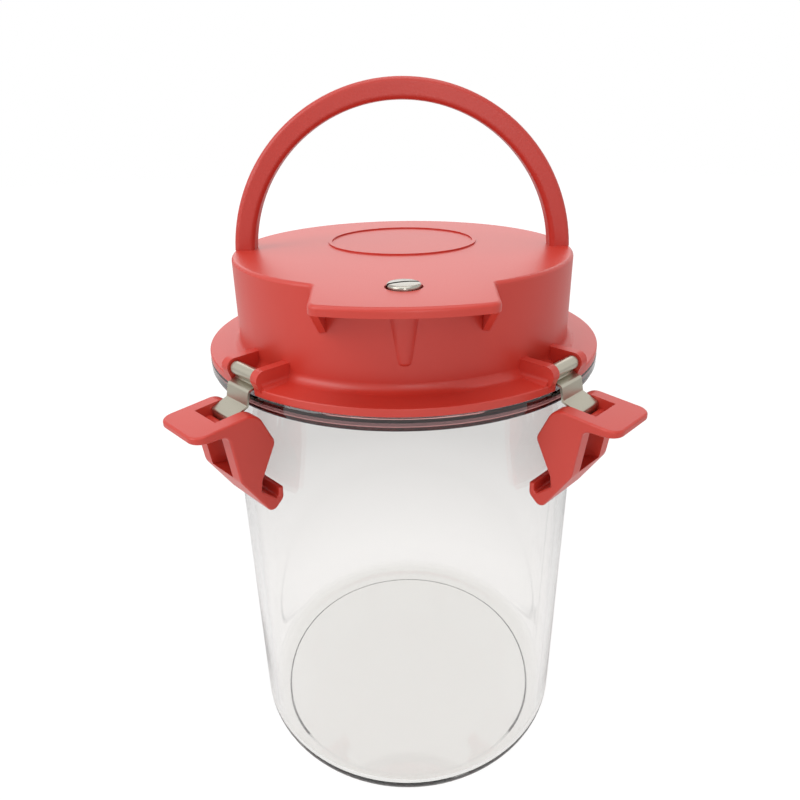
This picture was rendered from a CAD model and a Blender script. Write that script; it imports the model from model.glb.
# %% [markdown]
# # Anaerobic jar: a clear moulded jar under a clamped red lid
#
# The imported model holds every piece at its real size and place. This scene gives each piece the
# finish of the real one and turns the vent screw in finer detail. Around it stands a plain
# studio: a pale floor, soft lamps, and a camera a little above the lid.

# %% Load the frame
import math

import bmesh
import bpy
from mathutils import Matrix, Vector


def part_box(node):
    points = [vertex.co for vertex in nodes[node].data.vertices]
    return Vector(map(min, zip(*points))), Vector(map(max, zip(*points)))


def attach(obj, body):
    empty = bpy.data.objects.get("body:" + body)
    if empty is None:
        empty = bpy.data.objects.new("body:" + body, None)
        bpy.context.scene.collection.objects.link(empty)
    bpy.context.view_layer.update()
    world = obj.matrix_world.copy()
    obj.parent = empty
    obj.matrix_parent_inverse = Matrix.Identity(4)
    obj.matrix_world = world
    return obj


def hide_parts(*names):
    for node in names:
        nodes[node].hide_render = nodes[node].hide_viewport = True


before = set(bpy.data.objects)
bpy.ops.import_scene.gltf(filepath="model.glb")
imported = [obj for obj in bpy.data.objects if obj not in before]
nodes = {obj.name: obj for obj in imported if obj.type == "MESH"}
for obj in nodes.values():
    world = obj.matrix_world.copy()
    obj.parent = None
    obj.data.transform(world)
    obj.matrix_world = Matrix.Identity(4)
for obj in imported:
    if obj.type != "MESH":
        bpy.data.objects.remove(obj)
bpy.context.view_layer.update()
scene = bpy.context.scene

MM = 0.001
PER_METRE = 1000

# %% [markdown]
# ## Camera
#
# A product shot like this is taken from close by, so the perspective is strong. The camera's
# place, tilt and lens were worked out from the round edges of the lid and the jar: circles of
# known size turn into ellipses whose width and height give the distance and the angle.

# %% Camera
CAMERA_PLACE = Vector((0, -245.8, 261.8)) * MM
CAMERA_DOWN = math.radians(21.66)
CAMERA_ROLL = -0.014
OBJECT_TURN = math.radians(-0.25)
LENS_MM = 28.27
SENSOR_MM = 36
SHIFT = (-0.005, -0.043)
CLIP_START = 10 * MM

camera_data = bpy.data.cameras.new("studio_camera")
camera_data.lens = LENS_MM
camera_data.sensor_width = SENSOR_MM
camera_data.shift_x, camera_data.shift_y = SHIFT
camera_data.clip_start = CLIP_START
camera = bpy.data.objects.new("studio_camera", camera_data)
scene.collection.objects.link(camera)
tilt = Matrix.Rotation(math.pi / 2 - CAMERA_DOWN, 4, "X") @ Matrix.Rotation(CAMERA_ROLL, 4, "Z")
camera.matrix_world = Matrix.Rotation(OBJECT_TURN, 4, "Z") @ Matrix.Translation(CAMERA_PLACE) @ tilt
scene.camera = camera
print("camera at", [round(v, 3) for v in camera.matrix_world.translation])

# %% [markdown]
# ## Helpers for materials
#
# Colours are picked on a screen as sRGB hex values, but light adds up in linear values, so one
# function turns the first into the second. Another adds a node with its settings and links. The
# others start a material, give it to pieces of the frame, and find pieces by their names.


# %% Colour and node helpers
def colour(hex_value, alpha=1.0):
    """Linear RGBA from an sRGB hex value such as #C0402F."""
    channels = [int(hex_value[i:i + 2], 16) / 255 for i in (1, 3, 5)]
    linear = [c / 12.92 if c <= 0.04045 else ((c + 0.055) / 1.055) ** 2.4 for c in channels]
    return (*linear, alpha)


def node(tree, kind, settings=None, **inputs):
    """Add a shader node. An input is named, or numbered as in i0, and takes a value or a socket."""
    made = tree.nodes.new(kind)
    for name, value in (settings or {}).items():
        setattr(made, name, value)
    for name, value in inputs.items():
        numbered = name[0] == "i" and name[1:].isdigit()
        socket = made.inputs[int(name[1:]) if numbered else name.replace("_", " ")]
        if isinstance(value, bpy.types.NodeSocket):
            tree.links.new(value, socket)
        else:
            socket.default_value = value
    return made


def material(name):
    """A new node material, with its tree and its shader."""
    made = bpy.data.materials.new(name)
    made.use_nodes = True
    return made, made.node_tree, made.node_tree.nodes["Principled BSDF"]


def dress(finish, *names):
    """Give a finish to the pieces of these names."""
    for name in names:
        piece = nodes[name]
        piece.data.materials.clear()
        piece.data.materials.append(finish)
    print(finish.name, "on", len(names), "pieces")


def named(start):
    """The names of the pieces that begin with these letters."""
    return [name for name in nodes if name.startswith(start)]


# %% [markdown]
# ## Red moulded ABS
#
# The lid and the four levers are injection moulded ABS, from a mould with a fine spark-eroded
# texture. That gives the eye a satin face: the colour stays even, lights spread into soft
# patches, and edges catch a thin bright line. A grain of this kind, near 0.1 mm, is too fine to
# show here, so it's drawn as bump at 0.35 mm. A slow drift between two reds, over 40 mm, stands
# for the way pigment follows the flow of the melt. A painted picture of the grain would do too,
# but noise on the object's own coordinates needs no unwrapping and keeps its size everywhere.

# %% Moulded ABS
ABS_IOR = 1.53
FLOW_MM = 40.0
LID_GRAIN_MM, LID_GRAIN_HEIGHT_MM = 0.35, 0.004
GLOSS_SPREAD = 0.05


def moulded_abs(name, hex_value, deep_hex, roughness, grain_mm, grain_height_mm):
    """ABS whose grain gives the bump and a small change of gloss."""
    made, tree, shader = material(name)
    place = node(tree, "ShaderNodeTexCoord").outputs["Object"]
    flow = node(tree, "ShaderNodeTexNoise", Vector=place, Scale=PER_METRE / FLOW_MM, Detail=2.0)
    tone = node(tree, "ShaderNodeMix", {"data_type": "RGBA"}, i0=flow.outputs["Fac"],
                i6=colour(hex_value), i7=colour(deep_hex))
    grain = node(tree, "ShaderNodeTexNoise", Vector=place, Scale=PER_METRE / grain_mm, Detail=1.0)
    gloss = node(tree, "ShaderNodeMapRange", i0=grain.outputs["Fac"],
                 i3=roughness - GLOSS_SPREAD, i4=roughness + GLOSS_SPREAD)
    bump = node(tree, "ShaderNodeBump", Height=grain.outputs["Fac"], Strength=1.0,
                Distance=grain_height_mm * MM)
    tree.links.new(tone.outputs[2], shader.inputs["Base Color"])
    tree.links.new(gloss.outputs[0], shader.inputs["Roughness"])
    tree.links.new(bump.outputs[0], shader.inputs["Normal"])
    shader.inputs["IOR"].default_value = ABS_IOR
    return made


lid_abs = moulded_abs("moulded_abs_red", "#CB3B2E", "#C33528", 0.38, LID_GRAIN_MM,
                      LID_GRAIN_HEIGHT_MM)
dress(lid_abs, "lid_shell", *named("lever_"))

# %% [markdown]
# ## Grained handle
#
# The arch is a separate moulding with a coarser, leather-like grain for grip. Its grain is about
# 0.7 mm, which glitters where a lamp grazes it, and its red is a shade deeper. It's the same
# recipe as the lid's, with other numbers.

# %% Grained handle
HANDLE_GRAIN_MM, HANDLE_GRAIN_HEIGHT_MM = 0.7, 0.05

handle_abs = moulded_abs("grained_abs_red", "#C2372B", "#B93025", 0.4, HANDLE_GRAIN_MM,
                         HANDLE_GRAIN_HEIGHT_MM)
dress(handle_abs, "carry_handle")

# %% [markdown]
# ## Clear polycarbonate
#
# The jar is moulded in polycarbonate, which is heavy glass to the eye: an index of 1.585 bends
# the light enough to draw dark lines at the rim and the base. The wall is real, with an outer
# and an inner face, so plain refraction gives those lines without any trick.
#
# Three heights have a tint of their own. The foot is a little greyer than the wall. The rim
# takes a smoky red, as it carries the lid's colour round its edge. Under the rim runs a narrow
# band of fine hatching from the mould, drawn as slanting lines 0.9 mm apart up the wall. The
# tints could be separate pieces of plastic, but the jar is one moulding, so its colour changes
# with height instead.

# %% Heights of the jar's tints
jar_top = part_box("jar")[1].z
RIM_LOW = jar_top - 3.3 * MM
HATCH_LOW = RIM_LOW - 2.1 * MM
FLOOR_TOP, FLOOR_FADE = 5 * MM, 12 * MM
print("rim from", round(RIM_LOW, 4), "to", round(jar_top, 4))


def between(tree, height, low, high):
    """1 where the height lies between two values, else 0."""
    above = node(tree, "ShaderNodeMath", {"operation": "GREATER_THAN"}, i0=height, i1=low)
    below = node(tree, "ShaderNodeMath", {"operation": "LESS_THAN"}, i0=height, i1=high)
    return node(tree, "ShaderNodeMath", {"operation": "MULTIPLY"}, i0=above.outputs[0],
                i1=below.outputs[0]).outputs[0]


# %% Polycarbonate
POLYCARBONATE_IOR = 1.585
CLEAR_ROUGHNESS = 0.02
HATCH_MM = 0.9
HATCH_SCALE = math.tau / 10 * PER_METRE / HATCH_MM
RIPPLE_MM, RIPPLE_HEIGHT_MM = 60, 0.4

jar_clear, tree, shader = material("clear_polycarbonate")
place = node(tree, "ShaderNodeTexCoord").outputs["Object"]
height = node(tree, "ShaderNodeSeparateXYZ", Vector=place).outputs["Z"]
hatch = node(tree, "ShaderNodeTexWave", {"bands_direction": "DIAGONAL"}, Vector=place,
             Scale=HATCH_SCALE, Distortion=1.0, Detail=1.0)
hatched = node(tree, "ShaderNodeMix", {"data_type": "RGBA"}, i0=hatch.outputs["Fac"],
               i6=colour("#3C3D45"), i7=colour("#8C8C92"))
foot = node(tree, "ShaderNodeMapRange", Value=height, i1=FLOOR_TOP, i2=FLOOR_FADE)
body_tint = node(tree, "ShaderNodeMix", {"data_type": "RGBA"}, i0=foot.outputs[0],
                 i6=colour("#EDECE9"), i7=colour("#F9F8F7"))
rim_tint = node(tree, "ShaderNodeMix", {"data_type": "RGBA"},
                i0=between(tree, height, RIM_LOW, jar_top),
                i6=body_tint.outputs[2], i7=colour("#9C4F4D"))
band_tint = node(tree, "ShaderNodeMix", {"data_type": "RGBA"},
                 i0=between(tree, height, HATCH_LOW, RIM_LOW),
                 i6=rim_tint.outputs[2], i7=hatched.outputs[2])
tree.links.new(band_tint.outputs[2], shader.inputs["Base Color"])
shader.inputs["Roughness"].default_value = CLEAR_ROUGHNESS
shader.inputs["IOR"].default_value = POLYCARBONATE_IOR
shader.inputs["Transmission Weight"].default_value = 1.0
ripple = node(tree, "ShaderNodeTexNoise", Vector=place, Scale=PER_METRE / RIPPLE_MM, Detail=0.0)
bump = node(tree, "ShaderNodeBump", Height=ripple.outputs["Fac"], Strength=0.3,
            Distance=RIPPLE_HEIGHT_MM * MM)
tree.links.new(bump.outputs[0], shader.inputs["Normal"])

# %% [markdown]
# A path tracer has a hard time with lamps behind glass: light that should pass the wall would
# leave a dark, noisy shadow. So rays that only carry light, to a lamp or from a matt face, find
# a plain see-through wall, and every other ray finds the real one.

# %% Light through the wall
seen = node(tree, "ShaderNodeLightPath")
light_only = node(tree, "ShaderNodeMath", {"operation": "MAXIMUM"},
                  i0=seen.outputs["Is Shadow Ray"], i1=seen.outputs["Is Diffuse Ray"])
open_wall = node(tree, "ShaderNodeBsdfTransparent", Color=colour("#F4F4F3"))
wall = node(tree, "ShaderNodeMixShader", i0=light_only.outputs[0], i1=shader.outputs[0],
            i2=open_wall.outputs[0])
tree.links.new(wall.outputs[0], tree.nodes["Material Output"].inputs["Surface"])
dress(jar_clear, "jar")


# %% [markdown]
# ## Metals
#
# The straps are stamped from stainless strip: rolling leaves fine lines along it, so highlights
# stretch across. The pins are drawn wire, the vent screw is nickel plated, and the insert is
# turned brass. A metal shows little but what it reflects, so all four share one recipe, with
# their own colour, roughness and tool lines. The wire's lines have no direction.

# %% Metals
SMOOTHEST, ROUGHEST = 0.75, 1.3
SCREW_HEX, GRIME_HEX = "#A3A097", "#2B2621"


def worked_metal(name, hex_value, roughness, line_mm, stretch, height_mm):
    """A metal with fine tool lines. A stretch under 1 draws them out along that axis."""
    made, tree, shader = material(name)
    place = node(tree, "ShaderNodeTexCoord").outputs["Object"]
    squeezed = node(tree, "ShaderNodeMapping", Vector=place, Scale=stretch)
    lines = node(tree, "ShaderNodeTexNoise", Vector=squeezed.outputs[0],
                 Scale=PER_METRE / line_mm, Detail=2.0)
    gloss = node(tree, "ShaderNodeMapRange", i0=lines.outputs["Fac"],
                 i3=roughness * SMOOTHEST, i4=roughness * ROUGHEST)
    bump = node(tree, "ShaderNodeBump", Height=lines.outputs["Fac"], Strength=1.0,
                Distance=height_mm * MM)
    shader.inputs["Base Color"].default_value = colour(hex_value)
    shader.inputs["Metallic"].default_value = 1.0
    tree.links.new(gloss.outputs[0], shader.inputs["Roughness"])
    tree.links.new(bump.outputs[0], shader.inputs["Normal"])
    return made


strap_steel = worked_metal("rolled_stainless_strip", "#B4AFA0", 0.3, 0.25, (1, 1, 0.08), 0.003)
pin_steel = worked_metal("drawn_steel_wire", "#BDB9AE", 0.28, 0.3, (1, 1, 1), 0.002)
screw_nickel = worked_metal("nickel_plated_brass", SCREW_HEX, 0.26, 0.5, (0.15, 1, 1), 0.003)
insert_brass = worked_metal("turned_brass", "#C9A35A", 0.25, 0.3, (1, 1, 4), 0.003)
dress(strap_steel, *named("strap_"))
dress(pin_steel, *named("hinge_pin_"))
dress(insert_brass, "vent_insert")

# %% [markdown]
# ## Vent screw
#
# This is a slotted cheese head: a short drum with a rounded shoulder and a hardly crowned top.
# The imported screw's head is a plain dome, so this one stands for it, at the same place. Its
# outline is turned about the screw's own axis, and a boolean saws the slot, as a slitting saw
# does on the real one. The groove under the head holds the small seal.

# %% Screw outline
SCREW_LOW, SCREW_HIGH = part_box("vent_screw")
SCREW_AXIS = Vector(((SCREW_LOW.x + SCREW_HIGH.x) / 2, (SCREW_LOW.y + SCREW_HIGH.y) / 2, 0))
HEAD_RADIUS = (SCREW_HIGH.x - SCREW_LOW.x) / 2
HEAD_UNDER = SCREW_HIGH.z - 3.0 * MM
HEAD_TOP = SCREW_HIGH.z + 0.3 * MM
HEAD_ROUND = 0.9 * MM
HEAD_CROWN = 0.25 * MM
SHANK_RADIUS = 2.0 * MM
GROOVE_IN, GROOVE_OUT, GROOVE_RISE = 3.0 * MM, 4.4 * MM, 1.14 * MM
ARC_STEPS = 8

shoulder = HEAD_TOP - HEAD_CROWN
flat_radius = HEAD_RADIUS - HEAD_ROUND
outline = [(0, SCREW_LOW.z), (SHANK_RADIUS, SCREW_LOW.z), (SHANK_RADIUS, HEAD_UNDER),
           (GROOVE_IN, HEAD_UNDER), (GROOVE_IN, HEAD_UNDER + GROOVE_RISE),
           (GROOVE_OUT, HEAD_UNDER + GROOVE_RISE), (GROOVE_OUT, HEAD_UNDER),
           (HEAD_RADIUS, HEAD_UNDER)]
for step in range(ARC_STEPS + 1):
    turn = step / ARC_STEPS * math.pi / 2
    outline.append((HEAD_RADIUS - HEAD_ROUND * (1 - math.cos(turn)),
                    shoulder - HEAD_ROUND * (1 - math.sin(turn))))
for step in range(1, ARC_STEPS + 1):
    out = flat_radius * (1 - step / ARC_STEPS)
    outline.append((out, shoulder + HEAD_CROWN * (1 - (out / flat_radius) ** 2)))
print("screw outline:", len(outline), "points, head radius", round(HEAD_RADIUS / MM, 2), "mm")

# %% Turn the screw
TURN_STEPS = 72
WELD = 0.001 * MM

turned = bmesh.new()
profile = [turned.verts.new((out, 0, up)) for out, up in outline]
edges = [turned.edges.new(pair) for pair in zip(profile, profile[1:])]
bmesh.ops.spin(turned, geom=profile + edges, cent=(0, 0, 0), axis=(0, 0, 1), angle=math.tau,
               steps=TURN_STEPS, use_merge=True)
bmesh.ops.remove_doubles(turned, verts=turned.verts, dist=WELD)
bmesh.ops.recalc_face_normals(turned, faces=turned.faces)
bmesh.ops.translate(turned, verts=turned.verts, vec=SCREW_AXIS)
blank = bpy.data.meshes.new("screw_blank")
turned.to_mesh(blank)
turned.free()
screw = bpy.data.objects.new("vent_screw_slotted", blank)
scene.collection.objects.link(screw)

# %% Saw the slot
SLOT_WIDTH, SLOT_DEPTH, SLOT_TURN = 1.3 * MM, 1.5 * MM, math.radians(15)
SHARP_ANGLE = math.radians(40)

saw = bmesh.new()
bmesh.ops.create_cube(saw, size=1.0)
bmesh.ops.scale(saw, verts=saw.verts, vec=(4 * HEAD_RADIUS, SLOT_WIDTH, 2 * SLOT_DEPTH))
bmesh.ops.rotate(saw, verts=saw.verts, cent=(0, 0, 0), matrix=Matrix.Rotation(SLOT_TURN, 3, "Z"))
bmesh.ops.translate(saw, verts=saw.verts, vec=SCREW_AXIS + Vector((0, 0, HEAD_TOP)))
saw_mesh = bpy.data.meshes.new("slot_saw")
saw.to_mesh(saw_mesh)
saw.free()
saw_object = bpy.data.objects.new("slot_saw", saw_mesh)
scene.collection.objects.link(saw_object)
cut = screw.modifiers.new("slot", "BOOLEAN")
cut.operation = "DIFFERENCE"
cut.solver = "EXACT"
cut.object = saw_object
depsgraph = bpy.context.evaluated_depsgraph_get()
slotted = bpy.data.meshes.new_from_object(screw.evaluated_get(depsgraph))
screw.modifiers.clear()
screw.data = slotted
bpy.data.objects.remove(saw_object)
slotted.shade_smooth()
slotted.set_sharp_from_angle(angle=SHARP_ANGLE)
slotted.materials.append(screw_nickel)
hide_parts("vent_screw")
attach(screw, "vent_screw")
print("screw faces:", len(slotted.polygons))

# %% [markdown]
# Grime keeps a screw's slot dark, however bright the room. The distance from the slot's middle
# plane tells which faces are in it, and those take a dark tone. The margin lets the two walls in.

# %% Grime in the slot
SLOT_MARGIN = 0.01 * MM

slot_across = Vector((-math.sin(SLOT_TURN), math.cos(SLOT_TURN), 0))
tree = screw_nickel.node_tree
shader = tree.nodes["Principled BSDF"]
place = node(tree, "ShaderNodeTexCoord").outputs["Object"]
across = node(tree, "ShaderNodeVectorMath", {"operation": "DOT_PRODUCT"}, i0=place,
              i1=slot_across)
aside = node(tree, "ShaderNodeMath", {"operation": "SUBTRACT"}, i0=across.outputs["Value"],
             i1=SCREW_AXIS.dot(slot_across))
reach = node(tree, "ShaderNodeMath", {"operation": "ABSOLUTE"}, i0=aside.outputs[0])
in_slot = node(tree, "ShaderNodeMath", {"operation": "LESS_THAN"}, i0=reach.outputs[0],
               i1=SLOT_WIDTH / 2 + SLOT_MARGIN)
slot_tone = node(tree, "ShaderNodeMix", {"data_type": "RGBA"}, i0=in_slot.outputs[0],
                 i6=colour(SCREW_HEX), i7=colour(GRIME_HEX))
tree.links.new(slot_tone.outputs[2], shader.inputs["Base Color"])

# %% [markdown]
# ## Nitrile rubber
#
# Both seals are black nitrile. Its moulded skin is matt with a faint bloom, so it's a dark grey
# that drifts to a paler one in patches of 3 mm, with a high roughness.

# %% Nitrile
BLOOM_MM = 3.0
RUBBER_ROUGHNESS = 0.55

nitrile, tree, shader = material("nitrile_rubber")
place = node(tree, "ShaderNodeTexCoord").outputs["Object"]
bloom = node(tree, "ShaderNodeTexNoise", Vector=place, Scale=PER_METRE / BLOOM_MM, Detail=3.0)
tone = node(tree, "ShaderNodeMix", {"data_type": "RGBA"}, i0=bloom.outputs["Fac"],
            i6=colour("#26272B"), i7=colour("#33343A"))
tree.links.new(tone.outputs[2], shader.inputs["Base Color"])
shader.inputs["Roughness"].default_value = RUBBER_ROUGHNESS
dress(nitrile, "lid_seal", "vent_seal")

# %% [markdown]
# ## Studio
#
# The set is white paper under soft light. More light would make it white, but would wash out the
# red, so the paper has a white of its own that depends on who looks. To the camera it's mixed
# with a little of the light that really falls on it near the jar, which leaves hardly a shadow,
# and it's pure white further out. Seen through the jar it's greyer with distance, which gives
# the clear wall its tone. To all other rays it's plain paper.

# %% Floor sheet
FLOOR_RADIUS = 3.0
FLOOR_VERTICES = 128
FLOOR_DROP = 0.2 * MM

bpy.ops.mesh.primitive_circle_add(vertices=FLOOR_VERTICES, radius=FLOOR_RADIUS,
                                  fill_type="NGON")
floor = bpy.context.object
floor.name = "paper_floor"
floor.location.z = -FLOOR_DROP
print("floor of", FLOOR_RADIUS, "m radius")

# %% Paper
FIBRE_MM = 2.0
PAPER_ROUGHNESS = 0.9
PAPER_WHITE = 1.08
SHADOW_FROM, SHADOW_TO = 200 * MM, 600 * MM
OWN_WHITE_NEAR = 0.85
GREY_FROM, GREY_TO = 100 * MM, 260 * MM
SEEN_NEAR, SEEN_FAR = 1.05, 0.68
OWN_WHITE_THROUGH_JAR = 0.9

paper, tree, shader = material("white_paper")
place = node(tree, "ShaderNodeTexCoord").outputs["Object"]
fibre = node(tree, "ShaderNodeTexNoise", Vector=place, Scale=PER_METRE / FIBRE_MM, Detail=2.0)
tone = node(tree, "ShaderNodeMix", {"data_type": "RGBA"}, i0=fibre.outputs["Fac"],
            i6=colour("#F6F5F4"), i7=colour("#F2F1F0"))
tree.links.new(tone.outputs[2], shader.inputs["Base Color"])
shader.inputs["Roughness"].default_value = PAPER_ROUGHNESS
seen = node(tree, "ShaderNodeLightPath")
away = node(tree, "ShaderNodeVectorMath", {"operation": "LENGTH"}, i0=place)
behind_jar = node(tree, "ShaderNodeMapRange", Value=away.outputs["Value"], i1=GREY_FROM,
                  i2=GREY_TO, i3=SEEN_NEAR, i4=SEEN_FAR)
strength = node(tree, "ShaderNodeMix", {"data_type": "FLOAT"}, i0=seen.outputs["Is Camera Ray"],
                i2=behind_jar.outputs[0], i3=PAPER_WHITE)
glow = node(tree, "ShaderNodeEmission", Color=(1, 1, 1, 1), Strength=strength.outputs[0])
open_floor = node(tree, "ShaderNodeMapRange", Value=away.outputs["Value"], i1=SHADOW_FROM,
                  i2=SHADOW_TO, i3=OWN_WHITE_NEAR, i4=1.0)
straight = node(tree, "ShaderNodeMath", {"operation": "MULTIPLY"},
                i0=seen.outputs["Is Camera Ray"], i1=open_floor.outputs[0])
through_jar = node(tree, "ShaderNodeMath", {"operation": "MULTIPLY"},
                   i0=seen.outputs["Is Transmission Ray"], i1=OWN_WHITE_THROUGH_JAR)
share = node(tree, "ShaderNodeMath", {"operation": "MAXIMUM"}, i0=straight.outputs[0],
             i1=through_jar.outputs[0])
both = node(tree, "ShaderNodeMixShader", i0=share.outputs[0], i1=shader.outputs[0],
            i2=glow.outputs[0])
tree.links.new(both.outputs[0], tree.nodes["Material Output"].inputs["Surface"])
floor.data.materials.append(paper)
print("paper is pure white beyond", SHADOW_TO, "m")

# %% [markdown]
# The world is a room that lights the object softly and evenly. Camera and glossy rays find it
# white, as the paper is, so the metal shows a white studio. Through the jar it's a shade darker.

# %% World
ROOM_LIGHT = 0.52
ROOM_COLOUR = (0.98, 0.99, 1.0, 1)
WORLD_THROUGH_JAR = 0.86

world = bpy.data.worlds.new("studio_world")
scene.world = world
world.use_nodes = True
tree = world.node_tree
tree.nodes.clear()
rays = node(tree, "ShaderNodeLightPath")
direct = node(tree, "ShaderNodeMath", {"operation": "MAXIMUM"},
              i0=rays.outputs["Is Camera Ray"], i1=rays.outputs["Is Transmission Ray"])
shown = node(tree, "ShaderNodeMath", {"operation": "MAXIMUM"}, i0=direct.outputs[0],
             i1=rays.outputs["Is Glossy Ray"])
room = node(tree, "ShaderNodeBackground", Color=ROOM_COLOUR, Strength=ROOM_LIGHT)
through = node(tree, "ShaderNodeMapRange", Value=rays.outputs["Is Transmission Ray"], i3=1.0,
               i4=WORLD_THROUGH_JAR)
white = node(tree, "ShaderNodeBackground", Color=(1, 1, 1, 1), Strength=through.outputs[0])
pick = node(tree, "ShaderNodeMixShader", i0=shown.outputs[0], i1=room.outputs[0],
            i2=white.outputs[0])
node(tree, "ShaderNodeOutputWorld", Surface=pick.outputs[0])
print("room light", ROOM_LIGHT)


# %% [markdown]
# Five soft boxes shape the object. The key is high at the left, and the fill at the right is
# faint, so that side stays darker. One above lights the tops, one behind lays a pale sheen over
# them, and a narrow strip in front adds a little light from the right of the camera. A lamp
# can be seen mirrored, but none shows itself to the camera or through the jar.

# %% Lamps
def soft_box(name, place, target, size, watts):
    """A white rectangular lamp that points at a target."""
    data = bpy.data.lights.new(name, "AREA")
    data.shape = "RECTANGLE"
    data.size, data.size_y = size
    data.energy = watts
    lamp = bpy.data.objects.new(name, data)
    lamp.location = place
    aim = Vector(target) - Vector(place)
    lamp.rotation_euler = aim.to_track_quat("-Z", "Y").to_euler()
    lamp.visible_camera = False
    lamp.visible_transmission = False
    scene.collection.objects.link(lamp)
    print(name, watts, "W")


LID_MIDDLE = (0, 0, 0.17)
JAR_MIDDLE = (0, 0, 0.08)
soft_box("key_box", (-0.85, -0.5, 0.85), LID_MIDDLE, (0.7, 0.7), 5.0)
soft_box("fill_box", (0.9, -0.5, 0.5), LID_MIDDLE, (0.8, 0.8), 0.15)
soft_box("top_box", (0.0, -0.1, 1.2), LID_MIDDLE, (0.9, 0.9), 4.0)
soft_box("back_box", (0.0, 1.3, 0.8), LID_MIDDLE, (1.8, 0.7), 3.2)
soft_box("strip_box", (0.1, -0.9, 0.42), JAR_MIDDLE, (0.035, 0.5), 0.9)

# %% [markdown]
# ## Look and sizes
#
# The Standard view shows a colour about as it's written. The last lines note the box of the
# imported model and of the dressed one, which should be the same.

# %% Look
scene.view_settings.view_transform = "Standard"
